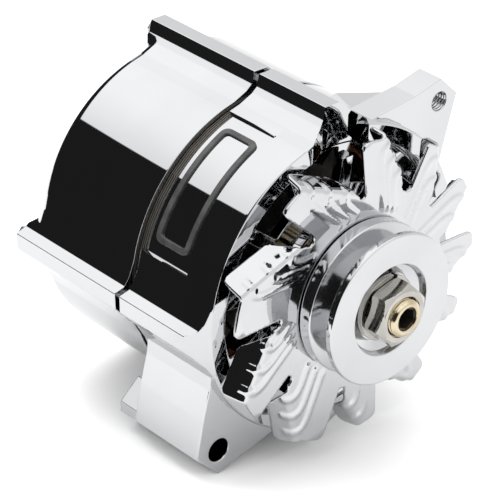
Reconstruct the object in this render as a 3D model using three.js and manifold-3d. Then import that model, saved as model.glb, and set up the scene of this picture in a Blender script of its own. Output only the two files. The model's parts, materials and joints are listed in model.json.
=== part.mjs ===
// Car alternator with a chromed two-piece case, an external stamped fan and a
// single-groove pulley. Millimetres. The parts are laid out in the "mounted" frame:
// +X runs along the shaft toward the pulley, +Z toward the adjusting ear, and the
// pivot foot hangs at -Z. The whole assembly is then rolled about the shaft so that it
// lies on its lower case ridge and on the corner of its foot, with +Z straight up.
import * as THREE from "three";
import { mergeVertices } from "three/addons/utils/BufferGeometryUtils.js";
import Module from "manifold-3d";

const wasm = await Module();
wasm.setup();

// ---------------------------------------------------------------- driving dimensions
const gap = 0.3; // clearance between pieces that touch
const roundSteps = 48; // facets around the case
const smallSteps = 24; // facets around shafts, bearings and rings

const holeRadius = 84; // shaft centre to each mounting hole
const bodyRadius = 67.5; // outside of the cylindrical case
const boreRadius = 63.5; // inside of the case
const seatRadius = 65.3; // counterbore that holds the stator core

const rearFace = -108;
const rearJoint = -43.9; // the two case halves stop short of each other
const frontJoint = -41.1;
const frontRim = 4;
const webFront = 1;
const webBack = -4;
const statorLength = 27;
const statorCentre = (rearJoint + frontJoint) / 2;

const ridgeAngles = [43.5, 136.5, 223.5, 316.5];
const ridgeFlat = 76.4; // shaft centre to a ridge's outer flat
const ridgeHalfFlat = 3.75;
const boltCircle = 70.5;
const boltRadius = 2.4;

const earFace = 1.25;
const earThickness = 12.7;
const footFace = 0;
const footWebLength = 39;
const footBossLength = 50.8;
const footEnd = 92.3;
const footHalfFlat = 8.3;

const fanBack = 15.9;
const fanSheet = 1.6;
const fanRadius = 66.3;
const fanHubRadius = 38;
const fanFirstSlot = 40.5; // angle of the first slot between petals
const petalWidths = [44, 47.5, 39.5, 43.5, 24, 26.5, 26.5, 26, 26, 25.5, 31];

const pulleyBack = 17.8;
const pulleyFront = 36.5;
const pulleyRadius = 33;
const grooveBack = 23.9;
const grooveFront = 33.2;
const grooveBottom = 23.5;
const recessRadius = 20;
const recessFloor = 27.2;

const washerThickness = 2.4;
const nutFlats = 24;
const nutLength = 13.2;
const nutTurn = 27;
const shaftEnd = 45.8;
const threadRadius = 8;
const journalRadius = 8.5;
const rotorSeatRadius = 9;

const bearingFront = -0.3;
const bearingBack = -12.3;
const bearingBore = 9;
const bearingSeat = 20;
const retainerScrewCircle = 24;
const retainerScrewAngles = [90, 210, 330];
const retainerScrewRadius = 2;

const rotorRadius = 47.7;
const statorBore = 48.5;
const rotorBack = -61;
const rotorFront = -27;
const clawCount = 7;

// ---------------------------------------------------------------- materials
const finish = (color, roughness, metalness) =>
  new THREE.MeshStandardMaterial({ color, roughness, metalness });

const chrome = () => finish(0xe6e8ea, 0.06, 1);
const nickel = () => finish(0xc9c4b8, 0.2, 1);
const steel = () => finish(0x8d9093, 0.35, 1);
const darkSteel = () => finish(0x55565a, 0.3, 1);
const zincYellow = () => finish(0xb59a5c, 0.3, 1);
const castIron = () => finish(0x35332f, 0.7, 0.6);
const laminate = () => finish(0x4a4642, 0.6, 0.7);
const copper = () => finish(0xa5552a, 0.35, 0.9);
const blackPlastic = () => finish(0x17181a, 0.5, 0);
const carbon = () => finish(0x2a2a2c, 0.7, 0.2);
const springSteel = () => finish(0xa8abae, 0.3, 1);
const blackEnamel = () => finish(0x08080a, 0.15, 0.1);

// ---------------------------------------------------------------- solid helpers
// A closed three.js geometry as a manifold solid, with its faces pointing out.
function solid(geometry) {
  const plain = geometry.clone();
  plain.deleteAttribute("normal");
  plain.deleteAttribute("uv");
  const merged = mergeVertices(plain, 1e-4);
  const place = merged.getAttribute("position");
  const index = merged.getIndex().array;
  const corners = [new THREE.Vector3(), new THREE.Vector3(), new THREE.Vector3()];
  const triangles = [];
  let volume = 0;
  for (let i = 0; i < index.length; i += 3) {
    const [a, b, c] = [index[i], index[i + 1], index[i + 2]];
    if (a === b || b === c || c === a) continue;
    corners.forEach((corner, k) => corner.fromBufferAttribute(place, index[i + k]));
    volume += corners[0].dot(corners[1].clone().cross(corners[2]));
    triangles.push(a, b, c);
  }
  if (volume < 0) {
    for (let i = 0; i < triangles.length; i += 3) {
      [triangles[i], triangles[i + 1]] = [triangles[i + 1], triangles[i]];
    }
  }
  return new wasm.Manifold(
    new wasm.Mesh({
      numProp: 3,
      vertProperties: new Float32Array(place.array),
      triVerts: new Uint32Array(triangles),
    }),
  );
}

function toGeometry(body) {
  const mesh = body.getMesh();
  const geometry = new THREE.BufferGeometry();
  geometry.setAttribute("position", new THREE.BufferAttribute(mesh.vertProperties, 3));
  geometry.setIndex(new THREE.BufferAttribute(mesh.triVerts, 1));
  const flat = geometry.toNonIndexed();
  flat.computeVertexNormals();
  return flat;
}

const join = (...bodies) => bodies.reduce((whole, body) => whole.add(body));
const cut = (body, ...tools) => tools.reduce((rest, tool) => rest.subtract(tool), body);

const basis = (x, y, z) =>
  new THREE.Matrix4().makeBasis(
    new THREE.Vector3(...x),
    new THREE.Vector3(...y),
    new THREE.Vector3(...z),
  );
const outlineToAxis = basis([0, 1, 0], [0, 0, 1], [1, 0, 0]);
const latheToAxis = basis([0, 1, 0], [1, 0, 0], [0, 0, -1]);

// A turned piece about the shaft from a closed profile of [x, radius] points.
function turned(profile, steps = smallSteps) {
  const points = profile.map(([x, radius]) => new THREE.Vector2(radius, x));
  const onAxis = profile.at(-1)[1] === 0 && profile[0][1] === 0;
  if (!onAxis) points.push(points[0].clone());
  return solid(new THREE.LatheGeometry(points, steps).applyMatrix4(latheToAxis));
}

const tube = (inner, outer, x0, x1, steps = smallSteps) =>
  turned([[x0, inner], [x0, outer], [x1, outer], [x1, inner]], steps);
const disc = (radius, x0, x1, steps = smallSteps) =>
  turned([[x0, 0], [x0, radius], [x1, radius], [x1, 0]], steps);

// A prism along the shaft from an outline of [y, z] points.
function prism(outline, x0, x1) {
  const shape = new THREE.Shape(outline.map(([y, z]) => new THREE.Vector2(y, z)));
  const geometry = new THREE.ExtrudeGeometry(shape, { depth: x1 - x0, bevelEnabled: false });
  return solid(geometry.applyMatrix4(outlineToAxis).translate(x0, 0, 0));
}

const radians = (degrees) => (degrees * Math.PI) / 180;

// Angles run from the ear (+Z) toward the badge side (-Y).
const polar = (radius, angle) => [
  -radius * Math.sin(radians(angle)),
  radius * Math.cos(radians(angle)),
];

// A point from a radial distance and a sideways offset about one angle.
function offsetPolar(radial, sideways, angle) {
  const [y, z] = polar(1, angle);
  return [radial * y - sideways * z, radial * z + sideways * y];
}

const turn = (body, angle) => body.rotate([angle, 0, 0]);

// The roll that brings the lower ridge's edge and the foot's corner to one level.
const [ridgeY, ridgeZ] = offsetPolar(ridgeFlat, -ridgeHalfFlat, ridgeAngles[2]);
const restingRoll =
  180 + (Math.atan2(-footEnd - ridgeZ, footHalfFlat - ridgeY) * 180) / Math.PI;

// A round bar or hole along the shaft direction, off the axis.
const bar = (radius, x0, x1, [y, z], steps = 20) =>
  disc(radius, x0, x1, steps).translate([0, y, z]);

// A sector of a ring between two angles.
function sector(inner, outer, from, to, x0, x1, stepAngle = 4) {
  const steps = Math.max(2, Math.ceil((to - from) / stepAngle));
  const outline = [];
  for (let i = 0; i <= steps; i++) outline.push(polar(outer, from + ((to - from) * i) / steps));
  for (let i = steps; i >= 0; i--) outline.push(polar(inner, from + ((to - from) * i) / steps));
  return prism(outline, x0, x1);
}

// A box placed by its centre in x, at a radial distance and an angle about the shaft.
function radialBox(length, radialSize, width, x, radial, angle) {
  const box = solid(new THREE.BoxGeometry(length, width, radialSize));
  return turn(box.translate([x, 0, radial]), angle);
}

// A round pin that points along a radius.
function radialPin(radius, from, to, x, angle, steps = 16) {
  const pin = solid(new THREE.CylinderGeometry(radius, radius, to - from, steps));
  return turn(pin.rotate([90, 0, 0]).translate([x, 0, (from + to) / 2]), angle);
}

function hexagon(flats, x0, x1, [y, z] = [0, 0], angle = 0) {
  const corner = flats / 2 / Math.cos(Math.PI / 6);
  const outline = [...Array(6).keys()].map((k) => {
    const [dy, dz] = polar(corner, angle + 60 * k);
    return [y + dy, z + dz];
  });
  return prism(outline, x0, x1);
}

// ---------------------------------------------------------------- case
const steepSide = (angle) => (angle < 90 || (angle > 180 && angle < 270) ? 1 : -1);

// One of the four lengthwise ridges: steep on the side that faces the badge or its
// opposite, with a long ramp on the side that faces the ear or the foot.
function ridge(angle, x0, x1) {
  const side = steepSide(angle);
  const section = [
    [62.5, 15],
    [65.9, 15],
    [68.5, 8.5],
    [71.2, 4.7],
    [ridgeFlat, ridgeHalfFlat],
    [ridgeFlat, -ridgeHalfFlat],
    [74.4, -6.2],
    [68.2, -13.6],
    [64.6, -19.4],
    [61.5, -18.5],
  ];
  return prism(section.map(([radial, t]) => offsetPolar(radial, side * t, angle)), x0, x1);
}

const ridges = (x0, x1) => join(...ridgeAngles.map((angle) => ridge(angle, x0, x1)));
const boltHoles = (x0, x1) =>
  ridgeAngles.map((angle) => bar(boltRadius + gap, x0, x1, polar(boltCircle, angle), 12));

const retainerHoles = (x0, x1) =>
  retainerScrewAngles.map((angle) =>
    bar(retainerScrewRadius + gap, x0, x1, polar(retainerScrewCircle, angle), 16),
  );

// The front ends of the ridges slope back from the rim. The two by the ear end in flat
// pads that are also cut into the rim.
const rimSlopeCutter = () =>
  turned([[4.6, 66], [-6, 84.5], [14, 84.5], [14, 66]], roundSteps);

const paddedRidges = [ridgeAngles[0], ridgeAngles[3]];
const padFace = -2;
function ridgePad(angle) {
  const side = steepSide(angle);
  const section = [[-14.5, padFace], [5, padFace], [16.5, 4.4], [17.2, 9], [-15.2, 9]];
  const cutter = prism(section.map(([t, x]) => [-side * t, -x]), 52, 86).rotate([0, -90, 0]);
  return turn(cutter, angle);
}

function earPlate() {
  const plate = prism(
    [[7, 91.7], [-7, 91.7], [-15.3, 79], [-31, 60.5], [-36, 50], [30, 50], [26, 57.5], [17.4, 72.6]],
    earFace - earThickness,
    earFace,
  );
  const fairing = prism(
    [[-13, 77.5], [-31, 60.5], [-36, 50], [30, 50], [26, 57.5], [14, 77.5]],
    -26,
    earFace - earThickness + 1,
  );
  const slope = solid(new THREE.BoxGeometry(40, 120, 30))
    .rotate([0, -42, 0])
    .translate([-31.5, 0, 86]);
  return join(plate, cut(fairing, slope));
}

function footBlock() {
  const web = prism(
    [[-footHalfFlat, -footEnd], [-18.2, -77.7], [-25.3, -65.7], [-38, -50], [38, -50],
      [25, -64.5], [footHalfFlat, -footEnd]],
    footFace - footWebLength,
    footFace,
  );
  const boss = prism(
    [[-5.6, -footEnd], [-footHalfFlat, -footEnd + 3.5], [-footHalfFlat, -76], [footHalfFlat, -76],
      [footHalfFlat, -footEnd + 3.5], [5.6, -footEnd]],
    footFace - footBossLength,
    footFace - footWebLength + 1,
  );
  return join(web, boss);
}

const windowCount = 12;
const spokeWidth = 6;
const firstSpoke = 5.7;
const windowInner = 41;
const windowOuter = 57;

function frontWindows() {
  const pitch = 360 / windowCount;
  const windows = sector(windowInner, windowOuter, 0, pitch, webBack - 2, webFront + 2, 5);
  const spoke = radialBox(12, 40, spokeWidth, (webBack + webFront) / 2, 50, 0);
  const opening = cut(windows, spoke, turn(spoke, pitch));
  return [...Array(windowCount).keys()].map((k) => turn(opening, firstSpoke + pitch * k));
}

// Between the two ridges on the badge side, the rear edge of the case is cut back to
// show the stator, and a shallow recess for the badge runs forward from the cut.
const badgeRecess = { from: 61, to: 118, x0: -38.6, x1: -14, floor: 66.2 };

function driveEndFrame() {
  const shell = turned(
    [
      [frontJoint, seatRadius], [frontJoint, bodyRadius], [3.2, bodyRadius],
      [frontRim, 66.7], [frontRim, 59.5], [webFront, 57.5], [webFront, 30.5],
      [frontRim, 28], [frontRim, 16.5], [0, 16.5], [0, bearingSeat + gap],
      [bearingBack - gap, bearingSeat + gap], [bearingBack - gap, 28], [webBack, 28],
      [webBack, 60], [-8, boreRadius],
      [statorCentre + statorLength / 2 + gap, boreRadius],
      [statorCentre + statorLength / 2 + gap, seatRadius],
    ],
    roundSteps,
  );
  const lugs = join(cut(ridges(frontJoint, frontRim), rimSlopeCutter()), earPlate(), footBlock());
  const outerLugs = cut(lugs, disc(65.9, -60, 10, roundSteps));
  const { from, to, x0, x1, floor } = badgeRecess;
  const recess = sector(floor, 72, from, to, x0 - 1, x1);
  const notch = sector(60, 72, from, to, frontJoint - 1, x0);
  return cut(
    join(shell, outerLugs),
    ...paddedRidges.map(ridgePad),
    ...frontWindows(),
    ...boltHoles(frontJoint - 1, -12),
    bar(5.2, footFace - footBossLength - 1, footFace + 1, [0, -holeRadius], 16),
    bar(4.2, earFace - earThickness - 1, earFace + 1, [0, holeRadius], 16),
    recess,
    notch,
    ...retainerHoles(-13, -5),
  );
}

const rearVentAngles = [15, 45, 75, 105, 135, 165, 195, 285, 345];
const studAngle = 315;
const socketAngle = 180 + restingRoll; // square to the part's own axes
const socketRadius = 45;
const studRadius = 46;
const groundScrewRadius = 2;
const groundScrewPlace = polar(52, 270);

function slipRingEndFrame() {
  const shell = turned(
    [
      [rearJoint, seatRadius], [rearJoint, bodyRadius], [rearFace + 8, bodyRadius],
      [rearFace + 4.5, 66.4], [rearFace + 1.8, 63.8], [rearFace + 0.4, 60], [rearFace, 57],
      [rearFace, 18], [rearFace - 2, 15], [rearFace - 2, 0], [rearFace + 2, 0],
      [rearFace + 2, 12.3], [-84, 12.3], [-84, 16.5], [-98, 17.5], [rearFace + 4, 20],
      [rearFace + 4, 58], [rearFace + 8, boreRadius],
      [statorCentre - statorLength / 2 - gap, boreRadius],
      [statorCentre - statorLength / 2 - gap, seatRadius],
    ],
    roundSteps,
  );
  const outerRidges = cut(ridges(rearFace, rearJoint), disc(65.9, -120, -30, roundSteps));
  const vents = rearVentAngles.map((angle) => radialBox(12, 26, 9, rearFace, 43, angle));
  const socketHole = radialBox(12, 14.5, 21, rearFace, socketRadius, socketAngle);
  const studHole = bar(6.3, rearFace - 3, rearFace + 6, polar(studRadius, studAngle), 16);
  const screwHole = bar(
    groundScrewRadius + gap, rearFace - 1, rearFace + 6, groundScrewPlace, 16,
  );
  return cut(
    join(shell, outerRidges),
    ...vents,
    ...boltHoles(rearFace - 1, rearJoint + 1),
    socketHole,
    studHole,
    screwHole,
  );
}

const bandWidth = 3;

// A plain frame that stands on the floor of the recess.
function badgeFrame() {
  const { from, to, x0, x1, floor } = badgeRecess;
  const frame = (band, inset) =>
    sector(floor + inset, floor + 1.3 - inset, from + 5 + band, to - 5 - band,
      x0 + 3 + band, x1 - 3 - band, 3);
  return cut(frame(0, gap), frame(bandWidth, -gap));
}

function throughBolt(angle) {
  const centre = polar(boltCircle, angle);
  return join(
    hexagon(7, rearFace - gap - 2.4, rearFace - gap, centre),
    bar(boltRadius, rearFace - gap - 0.5, -13, centre, 10),
  );
}

// ---------------------------------------------------------------- stator
const slotCount = 12;

function statorCore() {
  const x0 = statorCentre - statorLength / 2;
  const x1 = statorCentre + statorLength / 2;
  const ring = tube(statorBore, 65, x0, x1, 36);
  const slots = [...Array(slotCount).keys()].map((k) =>
    radialBox(statorLength + 4, 10, 5, statorCentre, statorBore + 3, (360 / slotCount) * k),
  );
  return cut(ring, ...slots);
}

function statorWinding() {
  const half = statorLength / 2;
  const endTurn = (side) => {
    const near = statorCentre + side * (half + 1);
    const far = statorCentre + side * (half + 9.5);
    return turned([[near, 49.5], [near, 57.5], [far - side * 2, 59], [far, 57], [far, 52],
      [far - side * 2, 49.5]], 24);
  };
  const bars = [...Array(slotCount).keys()].map((k) =>
    radialBox(statorLength + 4, 6, 4, statorCentre, 53, (360 / slotCount) * k),
  );
  return join(endTurn(1), endTurn(-1), ...bars);
}

// ---------------------------------------------------------------- rotor
function shaft() {
  const body = turned([
    [-103.4, 0], [-103.4, 7.5], [-102.4, journalRadius], [-63, journalRadius],
    [-63, rotorSeatRadius], [rotorFront + 2, rotorSeatRadius], [rotorFront + 2, journalRadius],
    [recessFloor, journalRadius], [recessFloor, threadRadius],
    [shaftEnd - 1.2, threadRadius], [shaftEnd, threadRadius - 1.2], [shaftEnd, 0],
  ]);
  return cut(body, hexagon(8, shaftEnd - 9, shaftEnd + 1));
}

// One claw-pole piece: a disc, half of the core and a ring of tapering fingers.
function clawPole(side) {
  const back = side > 0 ? rotorFront : rotorBack;
  const thickness = 9;
  const middle = (rotorFront + rotorBack) / 2;
  const cheek = tube(rotorSeatRadius + gap, 38.5, Math.min(back, back - side * thickness),
    Math.max(back, back - side * thickness));
  const coreEnd = middle + side * (gap / 2);
  const core = tube(rotorSeatRadius + gap, 19, Math.min(back, coreEnd), Math.max(back, coreEnd));
  const reach = rotorFront - rotorBack - 3;
  const finger = new THREE.Shape([
    new THREE.Vector2(-7.6, 0),
    new THREE.Vector2(7.6, 0),
    new THREE.Vector2(7.6, thickness * 0.8),
    new THREE.Vector2(2.6, reach),
    new THREE.Vector2(-2.6, reach),
    new THREE.Vector2(-7.6, thickness * 0.8),
  ]);
  const plate = solid(
    new THREE.ExtrudeGeometry(finger, { depth: 12, bevelEnabled: false })
      .applyMatrix4(basis([0, 1, 0], [-side, 0, 0], [0, 0, 1]))
      .translate(back, 0, 39.5),
  );
  const root = radialBox(thickness, 16, 15.2, back - (side * thickness) / 2, 39, 0);
  const shift = side > 0 ? 0 : 180 / clawCount;
  const fingers = [...Array(clawCount).keys()].map((k) =>
    turn(join(plate, root), shift + (360 / clawCount) * k),
  );
  const envelope = disc(rotorRadius, rotorBack - 5, rotorFront + 5, 42);
  return join(cheek, core, join(...fingers).intersect(envelope));
}

const fieldCoil = () => tube(19.4, 39.2, rotorBack + 9.6, rotorFront - 9.6);
const innerCollar = () =>
  turned([[rotorFront + gap, 9.3], [rotorFront + gap, 15], [-12.9, 12.4], [-12.9, 9.3]], 20);
const outerCollar = () => tube(9, 15, 0.3, fanBack - gap, 20);

const bearingOuterRace = () => tube(17, bearingSeat, bearingBack, bearingFront, 28);
const bearingInnerRace = () => tube(bearingBore, 11.6, bearingBack, bearingFront);
function bearingBalls() {
  const pitchRadius = 14.3;
  const cage = tube(pitchRadius - 0.8, pitchRadius + 0.8, -9, -3.6, 16);
  const balls = [...Array(8).keys()].map((k) => {
    const [y, z] = polar(pitchRadius, 45 * k);
    return solid(new THREE.SphereGeometry(2.3, 6, 4)).translate([-6.3, y, z]);
  });
  return join(cage, ...balls);
}

const retainerBack = -14.6;
function retainerPlate() {
  const plate = tube(13.5, 28, retainerBack, bearingBack - 2 * gap);
  return cut(plate, ...retainerHoles(retainerBack - 1, bearingBack));
}
function retainerScrew(angle) {
  const centre = polar(retainerScrewCircle, angle);
  const headBack = retainerBack - gap - 2.4;
  return join(
    bar(3.4, headBack, retainerBack - gap, centre, 16),
    bar(retainerScrewRadius, headBack + 1, -5.6, centre, 12),
  );
}

const slipRingXs = [-79.5, -72];
function slipRingSleeve() {
  const barrel = 11.2;
  const flange = 13;
  return turned([[-83.4, 8.8], [-83.4, flange], [-82.5, flange], [-82.5, barrel],
    [-76.2, barrel], [-76.2, flange], [-75.3, flange], [-75.3, barrel],
    [-68.9, barrel], [-68.9, flange], [-67.5, flange], [-67.5, barrel],
    [-63.6, barrel], [-63.6, 8.8]], 20);
}
const slipRing = (x) => tube(11.5, 14, x - 2.7, x + 2.7);

function needleBearingShell() {
  return turned([[-101, 10.4], [-101, 12], [-84.6, 12], [-84.6, 10.4], [-86, 10.4],
    [-86, 11.2], [-99.6, 11.2], [-99.6, 10.4]]);
}
function needleRollers() {
  const cage = tube(9.2, 10.2, -100.6, -85, 16);
  const rollers = [...Array(8).keys()].map((k) => bar(0.95, -99, -86.6, polar(9.75, 45 * k), 5));
  return join(cage, ...rollers);
}

// ---------------------------------------------------------------- fan and pulley
// One petal: a flat sector whose leading corner is folded back along a curved line
// into a blade that runs toward the case.
const foldInset = 3; // angle between the slot and the start of the fold
const bladeDepth = 10.4;

function petalFold(start, width) {
  const tipWidth = Math.min(13, width * 0.36);
  const rootRadius = width > 35 ? 42 : 46;
  const steps = 4;
  return [...Array(steps + 1).keys()].map((k) => {
    const part = k / steps;
    const radius = rootRadius + (fanRadius - 0.6 - rootRadius) * part;
    const angle = start + foldInset + (width - tipWidth - foldInset) * Math.pow(part, 0.85);
    return { radius, angle, depth: 2.2 + (bladeDepth - 2.2) * part };
  });
}

function petal(start, width) {
  const end = start + width - 2.4;
  const fold = petalFold(start, width);
  const tip = fold.at(-1);
  const outline = fold.map(({ radius, angle }) => polar(radius, angle));
  outline.push(polar(fanRadius, (tip.angle * 2 + end) / 3));
  outline.push(polar(fanRadius, (tip.angle + end * 2) / 3), polar(fanRadius - 1.5, end));
  outline.push(polar(fanHubRadius - 1, start + width - 1));
  outline.push(polar(fanHubRadius - 2, start + width / 2), polar(fanHubRadius - 1, start + 1));
  return prism(outline, fanBack, fanBack + fanSheet);
}

// The folded blade: a thin strip along the fold line, deeper toward the tip.
function blade(start, width) {
  const fold = petalFold(start, width);
  const outer = fold.map(({ radius, angle }) => polar(radius, angle));
  const inner = fold.map(({ radius, angle }) => {
    const inward = angle + (fanSheet / radius) * (180 / Math.PI);
    return polar(radius - fanSheet * 0.4, inward);
  });
  const strip = prism([...outer, ...inner.reverse()], fanBack - bladeDepth, fanBack + 0.8);
  const [y0, z0] = outer[0];
  const [y1, z1] = outer.at(-1);
  const length = Math.hypot(y1 - y0, z1 - z0);
  const angle = (Math.atan2(z1 - z0, y1 - y0) * 180) / Math.PI;
  const waste = new THREE.Shape([
    new THREE.Vector2(-8, -6),
    new THREE.Vector2(-8, bladeDepth - 2.2),
    new THREE.Vector2(0, bladeDepth - 2.2),
    new THREE.Vector2(length, 0),
    new THREE.Vector2(length + 1, -6),
  ]);
  const wedge = solid(
    new THREE.ExtrudeGeometry(waste, { depth: 60, bevelEnabled: false })
      .translate(0, 0, -30)
      .applyMatrix4(basis([0, 1, 0], [1, 0, 0], [0, 0, -1]))
      .rotateX(radians(angle))
      .translate(fanBack - bladeDepth, y0, z0),
  );
  return cut(strip, wedge);
}

function fan() {
  const hub = tube(9, fanHubRadius, fanBack, fanBack + fanSheet, 36);
  const parts = [];
  let start = fanFirstSlot;
  for (const width of petalWidths) {
    parts.push(petal(start, width), blade(start, width));
    start += width;
  }
  return join(hub, ...parts);
}

function pulley() {
  return turned(
    [
      [pulleyBack, 9], [pulleyBack, pulleyRadius - 1], [pulleyBack + 1, pulleyRadius],
      [grooveBack, pulleyRadius], [grooveBack + 3.2, grooveBottom],
      [grooveFront - 3.2, grooveBottom], [grooveFront, pulleyRadius],
      [pulleyFront - 0.7, pulleyRadius], [pulleyFront, pulleyRadius - 0.7],
      [pulleyFront, recessRadius], [pulleyFront - 2, recessRadius - 1],
      [recessFloor + 2, recessRadius - 2], [recessFloor, recessRadius - 4], [recessFloor, 9],
    ],
    40,
  );
}

function lockWasher() {
  const x0 = recessFloor + gap;
  const ring = tube(threadRadius + 0.5, 13.2, x0, x0 + washerThickness, 28);
  return cut(ring, radialBox(6, 10, 1.2, x0, 11, 20));
}

function pulleyNut() {
  const x0 = recessFloor + 2 * gap + washerThickness;
  const corner = nutFlats / 2 / Math.cos(Math.PI / 6);
  const chamfer = turned([[x0, 0], [x0, corner - 0.6], [x0 + 1, corner + 0.2],
    [x0 + nutLength - 1.6, corner + 0.2], [x0 + nutLength, corner - 1.9], [x0 + nutLength, 0]], 24);
  const body = hexagon(nutFlats, x0, x0 + nutLength, [0, 0], nutTurn).intersect(chamfer);
  return cut(body, disc(threadRadius + gap, x0 - 1, x0 + nutLength + 1, 40));
}

// ---------------------------------------------------------------- brush gear, electrics
const brushAngle = restingRoll; // straight up when the part rests
const brushLength = 13;
const brushStart = 14.3;
const brushWidth = 5;

function brushHolder() {
  const x = (slipRingXs[0] + slipRingXs[1]) / 2;
  const body = radialBox(17, 24, 14, x, 30.4, brushAngle);
  const pockets = slipRingXs.map((bx) =>
    radialBox(brushWidth + 0.8, 24, brushWidth + 0.8, bx, 28.4, brushAngle),
  );
  return cut(body, ...pockets);
}
const brush = (x) =>
  radialBox(brushWidth, brushLength, brushWidth, x, brushStart + brushLength / 2, brushAngle);

// A helical spring kept as the closed envelope of its coils.
function brushSpring(x) {
  const from = brushStart + brushLength + gap;
  const coil = radialPin(2.3, from, 40.1, x, brushAngle, 14);
  return cut(coil, radialPin(1.5, from - 1, 39, x, brushAngle, 10));
}

function regulator() {
  const body = sector(22, 50, 100, 152, -102, -92, 6);
  return join(body, radialBox(6, 6, 6, -90, 40, 126));
}
function rectifierBridge() {
  const base = sector(24, 57, 282, 352, -103.4, -97, 6);
  const fins = [288, 298, 308, 318, 328, 338, 346].map((angle) =>
    radialBox(12, 26, 2, -92, 40, angle),
  );
  const passage = bar(4.4, -105, -84, polar(studRadius, studAngle));
  return cut(join(base, ...fins), passage);
}
const diodeTrio = () => sector(22, 37, 206, 262, -97, -91, 8);
function capacitor() {
  return turn(disc(6, -97.5, -80, 24).translate([0, 0, 50]), 192);
}

function outputStud() {
  const centre = polar(studRadius, studAngle);
  return join(
    bar(3.2, -121, -83, centre, 14),
    hexagon(9, -84, -80, centre),
  );
}
function studInsulator() {
  const centre = polar(studRadius, studAngle);
  const body = join(
    bar(9, rearFace - gap - 4, rearFace - gap, centre, 20),
    bar(6, rearFace - gap - 1, rearFace + 3.7, centre, 16),
  );
  return cut(body, bar(3.5, rearFace - 8, rearFace + 6, centre, 14));
}
function studNut() {
  const centre = polar(studRadius, studAngle);
  const x1 = rearFace - 2 * gap - 4;
  return cut(hexagon(11, x1 - 5.5, x1, centre), bar(3.5, x1 - 8, x1 + 1, centre, 14));
}

const socketDepth = 14;
function connectorSocket() {
  const outer = radialBox(socketDepth, 13.9, 20.4, rearFace + 3, socketRadius, socketAngle);
  const flange = radialBox(1.6, 18, 25, rearFace - gap - 0.8, socketRadius, socketAngle);
  const hollow = radialBox(socketDepth + 4, 9.5, 16, rearFace - 1.5, socketRadius, socketAngle);
  return cut(join(outer, flange), hollow);
}
function connectorBlade(side) {
  const centre = radialBox(10, 6.4, 0.8, rearFace + 2.2, socketRadius, socketAngle);
  const [y, z] = polar(1, socketAngle + 90);
  return centre.translate([0, side * 4 * y, side * 4 * z]);
}

function groundScrew() {
  return join(
    hexagon(8, rearFace - gap - 4, rearFace - gap, groundScrewPlace),
    bar(groundScrewRadius, rearFace - 1, rearFace + 5.5, groundScrewPlace, 12),
  );
}

// ---------------------------------------------------------------- assembly
const mounted = new THREE.Group();

function add(name, body, material) {
  const mesh = new THREE.Mesh(toGeometry(body), material);
  mesh.name = name;
  mounted.add(mesh);
}

add("drive_end_frame", driveEndFrame(), chrome());
add("slip_ring_end_frame", slipRingEndFrame(), chrome());
add("badge_frame", badgeFrame(), blackEnamel());
ridgeAngles.forEach((angle, k) => add(`through_bolt_${k + 1}`, throughBolt(angle), steel()));

add("stator_core", statorCore(), laminate());
add("stator_winding", statorWinding(), copper());

add("rotor_shaft", shaft(), zincYellow());
add("claw_pole_front", clawPole(1), castIron());
add("claw_pole_rear", clawPole(-1), castIron());
add("field_coil", fieldCoil(), copper());
add("inner_collar", innerCollar(), steel());
add("outer_collar", outerCollar(), steel());
add("slip_ring_sleeve", slipRingSleeve(), blackPlastic());
slipRingXs.forEach((x, k) => add(`slip_ring_${k + 1}`, slipRing(x), copper()));

add("front_bearing_outer_race", bearingOuterRace(), steel());
add("front_bearing_inner_race", bearingInnerRace(), steel());
add("front_bearing_balls", bearingBalls(), steel());
add("bearing_retainer", retainerPlate(), steel());
retainerScrewAngles.forEach((angle, k) =>
  add(`retainer_screw_${k + 1}`, retainerScrew(angle), steel()),
);
add("rear_bearing_shell", needleBearingShell(), steel());
add("rear_bearing_rollers", needleRollers(), steel());

add("fan", fan(), chrome());
add("pulley", pulley(), chrome());
add("lock_washer", lockWasher(), darkSteel());
add("pulley_nut", pulleyNut(), nickel());

add("brush_holder", brushHolder(), blackPlastic());
slipRingXs.forEach((x, k) => {
  add(`brush_${k + 1}`, brush(x), carbon());
  add(`brush_spring_${k + 1}`, brushSpring(x), springSteel());
});
add("regulator", regulator(), blackPlastic());
add("rectifier_bridge", rectifierBridge(), steel());
add("diode_trio", diodeTrio(), blackPlastic());
add("capacitor", capacitor(), nickel());
add("output_stud", outputStud(), steel());
add("stud_insulator", studInsulator(), blackPlastic());
add("stud_nut", studNut(), nickel());
add("connector_socket", connectorSocket(), blackPlastic());
[1, -1].forEach((side, k) => add(`connector_blade_${k + 1}`, connectorBlade(side), steel()));
add("ground_screw", groundScrew(), steel());

mounted.rotation.x = -radians(restingRoll);
const alternator = new THREE.Group();
alternator.add(mounted);

const box = new THREE.Box3().setFromObject(alternator, true);
const centre = box.getCenter(new THREE.Vector3());
mounted.position.set(-centre.x, -centre.y, -box.min.z);

export default alternator;
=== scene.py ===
import json
import math

import bmesh
import bpy
import numpy as np
from mathutils import Matrix, Vector
from mathutils.geometry import delaunay_2d_cdt


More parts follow.
